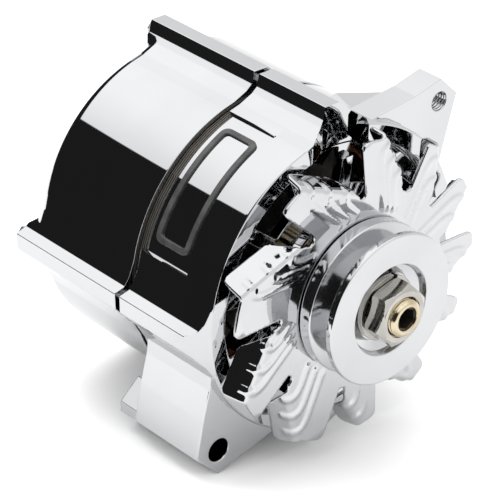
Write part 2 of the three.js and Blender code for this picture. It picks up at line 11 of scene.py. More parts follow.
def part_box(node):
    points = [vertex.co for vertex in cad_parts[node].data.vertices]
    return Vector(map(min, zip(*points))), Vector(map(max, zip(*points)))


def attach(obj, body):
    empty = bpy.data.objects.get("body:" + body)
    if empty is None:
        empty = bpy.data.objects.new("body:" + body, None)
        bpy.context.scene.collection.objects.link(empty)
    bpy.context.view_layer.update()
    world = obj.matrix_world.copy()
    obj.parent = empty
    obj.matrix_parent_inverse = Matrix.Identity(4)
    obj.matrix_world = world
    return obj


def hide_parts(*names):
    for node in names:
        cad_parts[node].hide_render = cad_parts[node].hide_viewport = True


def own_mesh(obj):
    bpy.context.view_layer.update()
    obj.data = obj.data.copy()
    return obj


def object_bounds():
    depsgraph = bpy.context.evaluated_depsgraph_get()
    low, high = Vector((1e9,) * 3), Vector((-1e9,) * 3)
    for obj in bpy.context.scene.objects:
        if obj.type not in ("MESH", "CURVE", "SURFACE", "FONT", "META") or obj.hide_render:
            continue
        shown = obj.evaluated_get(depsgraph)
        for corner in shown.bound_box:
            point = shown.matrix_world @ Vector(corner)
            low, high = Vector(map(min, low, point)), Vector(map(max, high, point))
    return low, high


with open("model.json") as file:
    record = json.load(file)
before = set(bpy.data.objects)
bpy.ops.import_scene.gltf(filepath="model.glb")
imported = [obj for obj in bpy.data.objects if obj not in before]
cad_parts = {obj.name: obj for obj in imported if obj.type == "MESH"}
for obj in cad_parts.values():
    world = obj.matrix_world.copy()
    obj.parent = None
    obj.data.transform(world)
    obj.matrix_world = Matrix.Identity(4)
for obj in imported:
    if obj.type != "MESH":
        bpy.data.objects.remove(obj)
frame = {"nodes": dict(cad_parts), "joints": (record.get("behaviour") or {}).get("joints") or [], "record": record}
cad_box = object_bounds()

# ---- the mounted frame
# Pieces are shaped in the alternator's own frame, in millimetres: +X along the shaft
# toward the pulley, +Z toward the ear, angles from the ear (+Z) toward the badge (-Y).
MM = 0.001
GAP = 0.3
PULLEY_FRONT = 36.5

record = frame["record"]
spin = next(j for j in frame["joints"] if j["name"] == "rotor_spin")
openings = {o["name"]: o["box_m"] for o in record["physics"]["openings"]}


def opening_centre(name):
    low, high = openings[name]
    return (Vector(low) + Vector(high)) / 2


axis_point = Vector(spin["pos_m"])
ear_hole = opening_centre("ear_bolt_bore") - axis_point
roll = math.atan2(ear_hole.y, ear_hole.z)
shaft_zero = Vector(
    (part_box("pulley")[1][0] - PULLEY_FRONT * MM, axis_point.y, axis_point.z)
)
TO_PART = (
    Matrix.Translation(shaft_zero) @ Matrix.Rotation(-roll, 4, "X") @ Matrix.Scale(MM, 4)
)


def polar(radius, angle):
    """(y, z) at an angle in degrees from the ear toward the badge side."""
    a = math.radians(angle)
    return (-radius * math.sin(a), radius * math.cos(a))


def at_angle(radial, sideways, angle):
    """(y, z) of a point given along and across the radius at an angle."""
    y, z = polar(1, angle)
    return (radial * y - sideways * z, radial * z + sideways * y)


# ---- mesh building
def add_object(name, data):
    made = bpy.data.objects.new(name, data)
    bpy.context.scene.collection.objects.link(made)
    return made


def turned(profile, steps):
    """Rings of points about the shaft, one for each (x, radius)."""
    angles = [360 * k / steps for k in range(steps)]
    return [[(x, *polar(r, a)) for a in angles] for x, r in profile]


class Shape:
    """Closed shells gathered into one mesh, in the mounted frame."""

    def __init__(self):
        self.verts = []
        self.faces = []

    def add(self, verts, faces):
        start = len(self.verts)
        self.verts += [tuple(v) for v in verts]
        self.faces += [tuple(start + i for i in f) for f in faces]

    def loft(self, rings, closed=False, caps=True):
        """Quads between successive rings of (x, y, z) points. closed joins last to first."""
        count, size = len(rings), len(rings[0])
        faces = []
        last = count if closed else count - 1
        for i in range(last):
            a, b = i * size, ((i + 1) % count) * size
            for j in range(size):
                k = (j + 1) % size
                faces.append((a + j, b + j, b + k, a + k))
        if not closed and caps:
            faces.append(tuple(range(size)))
            faces.append(tuple(reversed(range((count - 1) * size, count * size))))
        self.add([p for ring in rings for p in ring], faces)

    def lathe(self, profile, steps=144, closed=True):
        """Turns a profile of (x, radius) about the shaft."""
        self.loft(turned([(x, max(r, 1e-3)) for x, r in profile], steps), closed=closed)

    def plate(self, outline, x0, x1, bevel=0.5, holes=(), segments=2):
        """A slab between x0 and x1 with rounded edges, from (y, z) outlines."""
        curve = bpy.data.curves.new("plate", "CURVE")
        curve.dimensions = "2D"
        curve.fill_mode = "BOTH"
        curve.bevel_depth = bevel
        curve.bevel_resolution = segments
        curve.offset = -bevel
        curve.extrude = (x1 - x0) / 2 - bevel
        for loop in (outline, *holes):
            spline = curve.splines.new("POLY")
            spline.points.add(len(loop) - 1)
            for point, (y, z) in zip(spline.points, loop):
                point.co = (y, z, 0, 1)
            spline.use_cyclic_u = True
        holder = add_object("plate", curve)
        depsgraph = bpy.context.evaluated_depsgraph_get()
        mesh = bpy.data.meshes.new_from_object(holder.evaluated_get(depsgraph))
        middle = (x0 + x1) / 2
        verts = [(v.co.z + middle, v.co.x, v.co.y) for v in mesh.vertices]
        self.add(verts, [tuple(p.vertices) for p in mesh.polygons])
        bpy.data.objects.remove(holder)
        bpy.data.curves.remove(curve)
        bpy.data.meshes.remove(mesh)

    def hull(self, points, bevel=0.6):
        """The convex body round the points, with rounded edges."""
        mesh = bmesh.new()
        for p in points:
            mesh.verts.new(p)
        bmesh.ops.convex_hull(mesh, input=mesh.verts)
        loose = [v for v in mesh.verts if not v.link_faces]
        bmesh.ops.delete(mesh, geom=loose, context="VERTS")
        bmesh.ops.dissolve_limit(
            mesh, angle_limit=math.radians(1), verts=mesh.verts, edges=mesh.edges
        )
        bmesh.ops.bevel(
            mesh, geom=mesh.edges[:], offset=bevel, segments=2, profile=0.5, affect="EDGES"
        )
        mesh.verts.index_update()
        self.add([v.co for v in mesh.verts], [[v.index for v in f.verts] for f in mesh.faces])
        mesh.free()

    def mesh(self, name, weld=1e-4, dissolve=False):
        """The shape as a mesh, its shells joined where they meet and turned outward."""
        mesh = bpy.data.meshes.new(name)
        mesh.from_pydata(self.verts, [], self.faces)
        work = bmesh.new()
        work.from_mesh(mesh)
        bmesh.ops.remove_doubles(work, verts=work.verts, dist=weld)
        if dissolve:
            bmesh.ops.dissolve_degenerate(work, edges=work.edges, dist=weld)
        bmesh.ops.recalc_face_normals(work, faces=work.faces)
        work.to_mesh(mesh)
        work.free()
        return mesh

    def build(self, name, body, replaced, slot, material=None, sharp=50.0, weld=1e-4):
        """Makes the piece: it rides body, stands for the replaced nodes and has the slot's
        material unless it is given its own."""
        mesh = self.mesh(name, weld, dissolve=True)
        mesh.transform(TO_PART)
        mesh.shade_smooth()
        mesh.set_sharp_from_angle(angle=math.radians(sharp))
        mesh.materials.append(material or slot_materials[slot])
        piece = add_object(name, mesh)
        weighted = piece.modifiers.new("weighted normals", "WEIGHTED_NORMAL")
        weighted.keep_sharp = True
        weighted.weight = 100
        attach(piece, body)
        if replaced:
            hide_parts(*replaced)
        return piece


def carved(shape, cutters):
    """The closed shape less each of the cutters."""
    target = add_object("target", shape.mesh("target"))
    tools = [add_object("cutter", cutter.mesh("cutter")) for cutter in cutters]
    for tool in tools:
        cut = target.modifiers.new("cut", "BOOLEAN")
        cut.object = tool
        cut.operation = "DIFFERENCE"
        cut.solver = "EXACT"
    depsgraph = bpy.context.evaluated_depsgraph_get()
    mesh = bpy.data.meshes.new_from_object(target.evaluated_get(depsgraph))
    result = Shape()
    result.add([v.co for v in mesh.vertices], [tuple(p.vertices) for p in mesh.polygons])
    for used in (target, *tools):
        data = used.data
        bpy.data.objects.remove(used)
        bpy.data.meshes.remove(data)
    bpy.data.meshes.remove(mesh)
    return result


def bowed(start, corner, end, t):
    """A point of the curve that leaves start toward corner and arrives at end."""
    return start * (1 - t) ** 2 + corner * 2 * t * (1 - t) + end * t**2


def rounded(points, steps=5):
    """Rounds the corners of a closed outline of (y, z, radius)."""
    out = []
    count = len(points)
    for i in range(count):
        here = Vector(points[i][:2])
        before = Vector(points[i - 1][:2]) - here
        after = Vector(points[(i + 1) % count][:2]) - here
        radius = points[i][2]
        turn = before.angle(after, 0)
        if radius <= 0 or turn < 1e-3 or turn > math.pi - 1e-3:
            out.append(tuple(here))
            continue
        reach = min(radius / math.tan(turn / 2), before.length * 0.49, after.length * 0.49)
        start = here + before.normalized() * reach
        end = here + after.normalized() * reach
        out += [tuple(bowed(start, here, end, k / steps)) for k in range(steps + 1)]
    return out


def circle(radius, centre=(0, 0), steps=48):
    return [
        (centre[0] + radius * math.cos(a), centre[1] + radius * math.sin(a))
        for a in (2 * math.pi * k / steps for k in range(steps))
    ]


# ---- materials
def new_material(name):
    material = bpy.data.materials.new(name)
    material.use_nodes = True
    tree = material.node_tree
    return material, tree.nodes, tree.links, tree.nodes["Principled BSDF"]


def fill(node, **values):
    """Sets the node's own sockets; an underscore in a name stands for a space."""
    for name, value in values.items():
        node.inputs[name.replace("_", " ")].default_value = value
    return node


def noise_node(nodes, links, scale, detail=3.0, roughness=0.55, stretch=(1, 1, 1)):
    place = nodes.new("ShaderNodeTexCoord")
    mapping = fill(nodes.new("ShaderNodeMapping"), Scale=stretch)
    noise = nodes.new("ShaderNodeTexNoise")
    fill(noise, Scale=scale, Detail=detail, Roughness=roughness)
    links.new(place.outputs["Object"], mapping.inputs["Vector"])
    links.new(mapping.outputs["Vector"], noise.inputs["Vector"])
    return noise.outputs["Fac"]


def ramp_node(nodes, links, fac, low, high, start=0.35, end=0.65):
    """Colours from low to high as fac goes from start to end."""
    ramp = nodes.new("ShaderNodeValToRGB")
    ramp.color_ramp.elements[0].position = start
    ramp.color_ramp.elements[1].position = end
    ramp.color_ramp.elements[0].color = (*low, 1)
    ramp.color_ramp.elements[1].color = (*high, 1)
    links.new(fac, ramp.inputs["Fac"])
    return ramp.outputs["Color"]


def range_node(nodes, links, fac, low, high):
    node = fill(nodes.new("ShaderNodeMapRange"), To_Min=low, To_Max=high)
    links.new(fac, node.inputs["Value"])
    return node.outputs["Result"]


def bump_node(nodes, links, height, strength, distance):
    bump = fill(nodes.new("ShaderNodeBump"), Strength=strength, Distance=distance)
    links.new(height, bump.inputs["Height"])
    return bump


def finish_material(
    name, low, high, metallic, rough, scale, bump=(0.0, 0.0), stretch=(1, 1, 1), fine=None
):
    """A finish whose colour and roughness drift between two values, with a fine bump."""
    material, nodes, links, shader = new_material(name)
    broad = noise_node(nodes, links, scale, stretch=stretch)
    links.new(ramp_node(nodes, links, broad, low, high), shader.inputs["Base Color"])
    grain = noise_node(nodes, links, fine or scale * 9, detail=5, stretch=stretch)
    links.new(range_node(nodes, links, grain, *rough), shader.inputs["Roughness"])
    fill(shader, Metallic=metallic)
    if bump[0] > 0:
        node = bump_node(nodes, links, grain, *bump)
        links.new(node.outputs["Normal"], shader.inputs["Normal"])
    return material


def laminated_material():
    """Thin steel sheets stacked along the shaft, with a varnish that varies."""
    material, nodes, links, shader = new_material("laminations")
    place = nodes.new("ShaderNodeTexCoord")
    wave = nodes.new("ShaderNodeTexWave")
    wave.bands_direction = "X"
    fill(wave, Scale=290.0, Distortion=0.6, Detail_Scale=8.0)
    links.new(place.outputs["Object"], wave.inputs["Vector"])
    sheets = ramp_node(
        nodes, links, wave.outputs["Fac"], (0.02, 0.019, 0.017), (0.13, 0.12, 0.105), 0.2, 0.8
    )
    links.new(sheets, shader.inputs["Base Color"])
    broad = noise_node(nodes, links, 60.0)
    links.new(range_node(nodes, links, broad, 0.35, 0.6), shader.inputs["Roughness"])
    fill(shader, Metallic=0.6)
    bump = bump_node(nodes, links, wave.outputs["Fac"], 0.5, 0.0003)
    links.new(bump.outputs["Normal"], shader.inputs["Normal"])
    return material


# Each slot's finish: name, two colours, metallic, roughness range, scale of its drift.
FINISHES = {
    "case_chrome": ("case chrome", (0.62, 0.625, 0.64), (0.65, 0.655, 0.668),
        1.0, (0.012, 0.04), 22.0, {}),
    "fan_chrome": ("fan chrome", (0.62, 0.625, 0.64), (0.66, 0.665, 0.678),
        1.0, (0.03, 0.08), 30.0, {"bump": (0.04, 0.0004), "fine": 60.0}),
    "pulley_chrome": ("pulley chrome", (0.61, 0.615, 0.628), (0.65, 0.652, 0.662),
        1.0, (0.06, 0.14), 28.0, {"stretch": (9, 1, 1)}),
    "nut_nickel": ("nut nickel", (0.44, 0.425, 0.39), (0.58, 0.565, 0.53),
        1.0, (0.06, 0.13), 60.0, {"bump": (0.08, 0.0003)}),
    "dark_steel": ("dark spring steel", (0.3, 0.29, 0.275), (0.46, 0.445, 0.42),
        1.0, (0.12, 0.26), 80.0, {"bump": (0.15, 0.0003)}),
    "steel": ("bright steel", (0.5, 0.5, 0.51), (0.66, 0.66, 0.67),
        1.0, (0.18, 0.36), 70.0, {"bump": (0.12, 0.0003)}),
    "yellow_zinc": ("yellow zinc", (0.55, 0.45, 0.29), (0.73, 0.64, 0.46),
        1.0, (0.12, 0.26), 90.0, {"bump": (0.1, 0.0003)}),
    "bare_iron": ("forged iron", (0.05, 0.048, 0.045), (0.12, 0.115, 0.11),
        0.7, (0.4, 0.65), 90.0, {"bump": (0.4, 0.0006)}),
    "cast_aluminium": ("cast aluminium", (0.42, 0.43, 0.44), (0.58, 0.59, 0.6),
        1.0, (0.38, 0.55), 120.0, {"bump": (0.5, 0.0006)}),
    "black_plastic": ("black phenolic", (0.012, 0.012, 0.013), (0.028, 0.027, 0.027),
        0.0, (0.35, 0.55), 140.0, {"bump": (0.25, 0.0004)}),
    "carbon": ("carbon", (0.02, 0.02, 0.022), (0.05, 0.05, 0.055),
        0.0, (0.55, 0.75), 200.0, {"bump": (0.3, 0.0004)}),
    "badge_enamel": ("satin black", (0.025, 0.025, 0.027), (0.05, 0.049, 0.048),
        0.0, (0.28, 0.42), 160.0, {"bump": (0.15, 0.0002)}),
}
slot_materials = {
    slot: finish_material(*row, **extras) for slot, (*row, extras) in FINISHES.items()
}
slot_materials["laminations"] = laminated_material()
slot_materials["copper_winding"] = slot_materials["ring_copper"] = finish_material(
    "varnished copper", (0.30, 0.09, 0.035), (0.5, 0.19, 0.08), 0.85, (0.25, 0.45), 60.0,
    bump=(0.6, 0.0008), stretch=(6, 1, 1),
)
# Near-black steel for the lining of the hex socket in the shaft's end, far darker than the shaft around it.
socket_steel = finish_material(
    "near-black socket steel", (0.03, 0.026, 0.022), (0.075, 0.065, 0.055), 0.8, (0.3, 0.5), 90.0,
    bump=(0.2, 0.0003),
)
for subpart in record["subparts"]:
    node = frame["nodes"][subpart["node"]]
    node.data.materials.clear()
    node.data.materials.append(slot_materials[subpart["material_slot"]])

# ---- case section
# Radii of the round body, of its bore and of the stator's seat; the rounding at the joint.
BODY = 67.5
BORE = 63.5
SEAT = 65.3
EDGE = 0.5
RIDGE_ANGLES = (43.5, 136.5, 223.5, 316.5)

# Places along the shaft.
REAR_FACE = -108.0
REAR_RIM = -104.0
REAR_JOINT = -43.9
FRONT_JOINT = -41.1
REAR_SEAT_END = -56.3
FRONT_SEAT_END = -28.7
RIM = 4.0
WEB_FRONT = 1.0
WEB_BACK = -4.0

# The badge recess: its angles, its two ends, the radius of its floor, its wall's slope.
RECESS_FROM, RECESS_TO = 61.0, 118.0
RECESS_BACK, RECESS_FRONT = -38.6, -12.9
RECESS_FLOOR = 66.2
RECESS_WALL = 0.9

# A ridge's section: radial and sideways place and rounding of each corner, up its steep
# side and down its ramp.
RIDGE_STEEP = ((66.0, 14.2, 0.0), (68.9, 7.6, 4.0), (71.3, 4.75, 1.5), (76.4, 3.75, 0.5))
RIDGE_RAMP = ((76.4, -3.75, 0.5), (74.4, -6.2, 1.0), (68.2, -13.6, 8.0), (64.2, -20.8, 0.0))
RIDGE_REACH = 17.6

# Spacing of the outline's points: millimetres on a ridge, degrees on the round body.
RIDGE_STEP = 0.9
ARC_STEP = 1.5
WALL_FOOT = 0.05
CLOSEST = 0.02


def ridge_points(angle):
    """The section of one ridge: (y, z, rounding) from its steep side to its ramp."""
    side = 1 if angle < 90 or 180 < angle < 270 else -1
    return [(*at_angle(r, side * t, angle), k) for r, t, k in (*RIDGE_STEEP, *RIDGE_RAMP)]


def angle_of(y, z):
    return math.degrees(math.atan2(-y, z)) % 360


def case_outline():
    """(angle, radius) round the case: arcs of the body between four ridges."""
    samples = []
    for ridge in RIDGE_ANGLES:
        ring = [Vector(p) for p in rounded(ridge_points(ridge), steps=4)]
        for a, b in zip(ring, ring[1:]):
            parts = max(int((b - a).length / RIDGE_STEP), 1)
            for k in range(parts):
                y, z = a.lerp(b, k / parts)
                samples.append((angle_of(y, z), max(math.hypot(y, z), BODY)))
    for k in range(int(360 / ARC_STEP)):
        angle = k * ARC_STEP
        near = min(abs((angle - r + 180) % 360 - 180) for r in RIDGE_ANGLES)
        if near > RIDGE_REACH:
            samples.append((angle, BODY))
    for edge, outward in ((RECESS_FROM, -1), (RECESS_TO, 1)):
        samples.append((edge, BODY))
        samples.append((edge + outward * math.degrees(RECESS_WALL / BODY), BODY))
        samples.append((edge - outward * WALL_FOOT, BODY))
    samples.sort()
    kept = [samples[0]]
    for sample in samples[1:]:
        if sample[0] - kept[-1][0] > CLOSEST:
            kept.append(sample)
    return kept


OUTLINE = case_outline()
in_recess = [RECESS_FROM <= a <= RECESS_TO for a, _ in OUTLINE]


def ring_at(place):
    """A ring from a function of (angle, radius, in recess) to (x, radius)."""
    ring = []
    for (angle, radius), inside in zip(OUTLINE, in_recess):
        x, r = place(angle, radius, inside)
        ring.append((x, *polar(r, angle)))
    return ring


def round_ring(x, radius):
    """A ring at one place and radius all the way round."""
    return ring_at(lambda angle, own_radius, inside: (x, radius))


def smooth(t):
    """Goes from 0 to 1 as t does, without a kink at either end."""
    t = min(max(t, 0.0), 1.0)
    return t * t * (3 - 2 * t)


# The flat ends of the two ridges by the ear: the cutter's section as (sideways, x).
PAD_FACE = -2.0
PAD_SECTION = ((-14.5, PAD_FACE), (5.0, PAD_FACE), (16.5, 4.4), (17.2, 9.0), (-15.2, 9.0))
PADDED_RIDGES = (RIDGE_ANGLES[0], RIDGE_ANGLES[3])
PAD_SPAN = (52.0, 86.0)


def ridge_pad(angle):
    """What is cut from the rim to leave the flat end of one of the ridges by the ear."""
    side = 1 if angle < 90 else -1
    pad = Shape()
    pad.loft([[(x, *at_angle(r, side * t, angle)) for t, x in PAD_SECTION] for r in PAD_SPAN])
    return pad


def threaded_hole(shape, x0, x1, centre, outer, pitch, depth):
    """A tube with a thread inside, set into a plain hole."""
    steps, rings_per_turn = 48, 8
    count = int((x1 - x0) / pitch * rings_per_turn)
    wall, lead_in = 0.15, 0.8
    angles = [2 * math.pi * k / steps for k in range(steps)]

    def ring(x, radius):
        return [
            (x, centre[0] + radius(x, a) * math.cos(a), centre[1] + radius(x, a) * math.sin(a))
            for a in angles
        ]

    def wave(x, a):
        phase = (x / pitch - a / (2 * math.pi)) % 1.0
        fade = smooth((x1 - x) / lead_in)
        return outer - wall - depth * min(abs(phase * 2 - 1) * 1.4, 1.0) * fade

    rings = [ring(x0, lambda x, a: outer), ring(x1, lambda x, a: outer)]
    rings += [ring(x1 - (x1 - x0) * k / count, wave) for k in range(count + 1)]
    shape.loft(rings, closed=True)


def front_shell():
    """The drum of the front half with its ridges and the recess for the badge."""

    def front_end(radius):
        """Where the rim ends: a ridge slopes back as it rises, the round body doesn't."""
        return 4.6 - (radius - 66.0) * 0.573 if radius > BODY + 0.05 else 3.5

    def back(inside):
        return RECESS_BACK if inside else FRONT_JOINT

    def skin(radius, inside):
        return RECESS_FLOOR if inside else radius

    shell = Shape()
    shell.loft(
        [
            round_ring(FRONT_SEAT_END, SEAT),
            ring_at(lambda a, r, i: (back(i) + 0.2, SEAT)),
            ring_at(lambda a, r, i: (back(i), SEAT + 0.2)),
            ring_at(lambda a, r, i: (back(i), skin(r, i) - (0.2 if i else EDGE))),
            ring_at(lambda a, r, i: (back(i) + EDGE * 0.3, skin(r, i) - (0.05 if i else 0.13))),
            ring_at(lambda a, r, i: (back(i) + EDGE, skin(r, i))),
            ring_at(lambda a, r, i: (RECESS_FRONT - RECESS_WALL, skin(r, i))),
            ring_at(lambda a, r, i: (RECESS_FRONT, r)),
            ring_at(lambda a, r, i: (RECESS_FRONT + 0.5, r)),
            ring_at(lambda a, r, i: (front_end(r) - 0.7, r)),
            ring_at(lambda a, r, i: (front_end(r) - 0.35, r - 0.08)),
            ring_at(lambda a, r, i: (front_end(r) - 0.12, r - 0.3)),
            round_ring(RIM - 0.1, 66.8),
            round_ring(RIM, 66.4),
            round_ring(RIM, 59.9),
            round_ring(RIM - 0.15, 59.5),
            round_ring(WEB_FRONT, 57.6),
            round_ring(WEB_BACK, 57.4),
            round_ring(WEB_BACK - 0.1, 60.0),
            round_ring(-8.0, BORE),
            round_ring(FRONT_SEAT_END, BORE),
        ],
        closed=True,
    )
    return shell


# The windows between the spokes of the front web.
WINDOW_COUNT = 12
WINDOW_START = 5.7
WINDOW_INNER, WINDOW_OUTER = 41.0, 57.0
WINDOW_ROUNDING = 1.6
SPOKE_HALF = 3.0


def front_window(number):
    """The rounded outline of one window between two spokes with parallel sides."""
    pitch = 360 / WINDOW_COUNT

    def arc(radius, parts):
        lean = math.degrees(math.asin(SPOKE_HALF / radius))
        low = WINDOW_START + pitch * number + lean
        high = WINDOW_START + pitch * (number + 1) - lean
        return [polar(radius, low + (high - low) * k / parts) for k in range(parts + 1)]

    inner, outer = arc(WINDOW_INNER, 6), arc(WINDOW_OUTER, 8)[::-1]
    corners = (inner[0], inner[-1], outer[0], outer[-1])
    return rounded([(*p, WINDOW_ROUNDING if p in corners else 0.0) for p in inner + outer])


# The holes in the ear and in the foot, one above and one below the shaft.
EAR_HOLE = (0, 84)
FOOT_HOLE = (0, -84)
PIVOT_RADIUS = 5.2


def front_case():
    shape = Shape()
    web = Shape()
    holes = [front_window(number) for number in range(WINDOW_COUNT)]
    web.plate(circle(58.2, steps=120), WEB_BACK, WEB_FRONT, 0.4, [*holes, circle(27.0)])
    # the boss round the bearing
    shape.lathe(
        [(-12.6, 20.3), (-12.6, 28.0), (WEB_FRONT - 0.2, 28.5), (WEB_FRONT, 30.5),
         (3.2, 28.9), (RIM, 28.2), (RIM, 16.8), (RIM - 0.3, 16.5), (0, 16.5), (0, 20.3)]
    )

    # the ear, and the fairing behind it
    ear = [(7, 91.7, 0.5), (-7, 91.7, 0.5), (-15.3, 79, 2), (-31, 60.5, 2), (-36, 50, 0),
           (30, 50, 0), (26, 57.5, 2), (17.4, 72.6, 2)]
    ear_plate = Shape()
    ear_plate.plate(rounded(ear), 1.25 - 12.7, 1.25, 0.5, [circle(4.2, EAR_HOLE, 40)])
    threaded_hole(shape, -11.2, 0.9, EAR_HOLE, outer=4.5, pitch=1.5, depth=0.6)
    shape.hull(
        [(-11.0, -13.4, 77.3), (-11.0, 14.0, 77.3), (-11.0, -30.6, 60.5), (-11.0, 25.6, 57.5),
         (-26.0, -26.5, 64.2), (-26.0, 22.0, 64.2), (-26.0, -35, 50), (-26.0, 30, 50),
         (-11.0, -35, 50), (-11.0, 30, 50)]
    )

    # the foot: a tapering web and the boss that carries the pivot bolt
    pivot_hole = circle(PIVOT_RADIUS, FOOT_HOLE, 40)
    foot = [(-8.3, -92.3, 0.7), (-18.2, -77.7, 3), (-25.3, -65.7, 3), (-38, -50, 0),
            (38, -50, 0), (25, -64.5, 3), (8.3, -92.3, 0.7)]
    foot_web = Shape()
    foot_web.plate(rounded(foot), -39.0, 0.0, 0.6, [pivot_hole])
    boss = [(-5.6, -92.3, 0.5), (-8.9, -88.8, 0.5), (-7.9, -76, 0.5), (8.3, -76, 0.5),
            (8.3, -88.8, 0.5), (5.6, -92.3, 0.5)]
    shape.plate(rounded(boss), -50.8, -37.0, 0.6, [pivot_hole])

    pads = [ridge_pad(angle) for angle in PADDED_RIDGES]
    for part in (front_shell(), web, ear_plate, foot_web):
        cut_back = carved(part, pads)
        shape.add(cut_back.verts, cut_back.faces)
    return shape


front_case().build("front_case", "case", ["drive_end_frame"], "case_chrome")


# ---- rear case
# The dome of the rear end as (x, radius), from the round body to the flat rear face.
REAR_DOME = ((-100.0, 67.5), (-102.4, 67.0), (-104.4, 65.8), (-106.0, 63.9), (-107.1, 61.6),
             (-107.7, 59.4), (-108.0, 57.0))
REAR_WINDOWS = (15, 45, 75, 105, 135, 165, 195, 285, 345)


def domed_ring(x, limit):
    """The dome rounds off the body, and the tops of the ridges run on past it."""

    def place(angle, radius, inside):
        share = smooth((radius - 69.0) / 1.5)
        return (x, limit + (radius - limit) * share + (radius - BODY) * (1 - share))

    return ring_at(place)


def rear_hole(radii, half_width, angle, rounding):
    """A rounded rectangle along a radius."""
    low, high = radii
    corners = (
        (low, -half_width), (high, -half_width), (high, half_width), (low, half_width)
    )
    return rounded([(*at_angle(r, t, angle), rounding) for r, t in corners])


def rear_case():
    shape = Shape()
    shape.loft(
        [
            round_ring(REAR_SEAT_END, SEAT),
            round_ring(REAR_JOINT - 0.2, SEAT),
            round_ring(REAR_JOINT, SEAT + 0.2),
            ring_at(lambda a, r, i: (REAR_JOINT, r - EDGE)),
            ring_at(lambda a, r, i: (REAR_JOINT - EDGE * 0.3, r - 0.13)),
            ring_at(lambda a, r, i: (REAR_JOINT - EDGE, r)),
            *(domed_ring(x, limit) for x, limit in REAR_DOME),
            round_ring(REAR_FACE, 56.0),
            round_ring(REAR_RIM, 56.0),
            round_ring(REAR_RIM, 58.0),
            round_ring(-100.0, BORE),
            round_ring(REAR_SEAT_END, BORE),
        ],
        closed=True,
    )

    # the rear wall: windows, the plug socket's hole, the output stud's, the ground screw's
    holes = [rear_hole((30, 56), 4.5, angle, 2.2) for angle in REAR_WINDOWS]
    holes.append(rear_hole((37.75, 52.25), 10.5, 180 + math.degrees(roll), 0.8))
    holes.append(circle(6.3, polar(46, 315), 32))
    holes.append(circle(2.3, polar(52, 270), 24))
    shape.plate(circle(56.5, steps=120), REAR_FACE, REAR_RIM, 0.4, holes)
    shape.lathe(
        [(-107.9, 18.5), (-108.6, 17.6), (-109.6, 16.0), (-110.0, 14.0), (-110.0, 0.0),
         (-106.0, 0.0), (-106.0, 12.3), (-84.0, 12.3), (-84.0, 16.5), (-98.0, 17.5),
         (-104.0, 20.0), (-107.0, 20.0)]
    )
    return shape


rear_case().build("rear_case", "case", ["slip_ring_end_frame"], "case_chrome")


# ---- fan
FAN_FRONT = 17.5
SHEET = 1.5
SHEET_MIDDLE = FAN_FRONT - SHEET / 2
FAN_RADIUS = 66.3
FAN_HUB = 34.0
FAN_BORE = 9.3
BEND_RADIUS = 2.1
BLADE_DEPTH = 10.0
BLADE_CORNER = 2.4
TIP_CURL = 3.4
SLOT_END = 2.6
TAPER = 11.0

# Spacing of a petal's points, and of the finer ones across its fold.
GRID = 0.75
FOLD_GRID = 0.3

# One row per petal: where its fold starts (angle, radius), the fold's angle at the tip,
# where its straight edge starts, that edge's angle at the tip, the blade's lean from
# square, and its number of ribs.
PETALS = (
    ((46.0, 43.8), 75.0, (81.0, 43.8), 84.3, 12, 3),
    ((87.0, 43.0), 116.5, (129.3, 43.5), 131.4, 26, 3),
    ((134.5, 45.0), 160.0, (167.6, 45.5), 169.8, 28, 3),
    ((173.0, 47.0), 197.0, (213.0, 44.0), 209.0, 22, 3),
    ((218.0, 47.5), 229.5, (239.0, 48.5), 235.5, 10, 2),
    ((244.0, 49.0), 257.0, (265.0, 48.5), 262.8, 10, 2),
    ((270.0, 49.0), 285.5, (292.3, 48.5), 290.7, 10, 2),
    ((297.3, 49.0), 312.5, (319.3, 48.5), 317.6, 8, 2),
    ((324.0, 49.0), 338.3, (345.2, 48.5), 343.7, 6, 2),
    ((350.0, 49.0), 365.7, (367.6, 47.5), 370.0, 4, 2),
    ((375.5, 47.0), 395.0, (401.2, 44.2), 404.5, 3, 3),
)
RIB_HEIGHT = 0.62
RIB_HALF = 2.5
RIB_START = 36.5
RIB_SHARES = {2: (0.36, 0.76), 3: (0.24, 0.54, 0.83)}


def flat_point(radius, angle):
    return Vector(polar(radius, angle))


def arc_points(radius, low, high, step):
    count = max(int(abs(high - low) / step), 1)
    return [flat_point(radius, low + (high - low) * k / count) for k in range(count + 1)]


def spaced(points, step):
    """The open line through points, with extra points so that none are far apart."""
    out = [points[0]]
    for a, b in zip(points, points[1:]):
        count = max(int((b - a).length / step), 1)
        out += [a.lerp(b, k / count) for k in range(1, count + 1)]
    return out


def slot_between(left, right):
    """Centre and end radius of the slot from one petal's edge to the next one's fold."""
    (edge_angle, edge_radius), (fold_angle, fold_radius) = left[2], right[0]
    fold_angle += 360 if fold_angle < edge_angle else 0
    centre = (edge_angle + fold_angle) / 2
    radius = (edge_radius + fold_radius) / 2
    half = math.radians(fold_angle - edge_angle) / 2 * radius
    return centre, radius - min(half, SLOT_END)


def slot_side(end, start, centre_angle):
    """Half of a slot's rounded end, from its deepest point to one side."""
    middle = (end + start) / 2
    bulge = flat_point(1, centre_angle)
    corner = start - bulge * (start - end).dot(bulge)
    return [end.lerp(corner, 0.5), middle.lerp(corner, 0.42), start.lerp(corner, 0.5)]


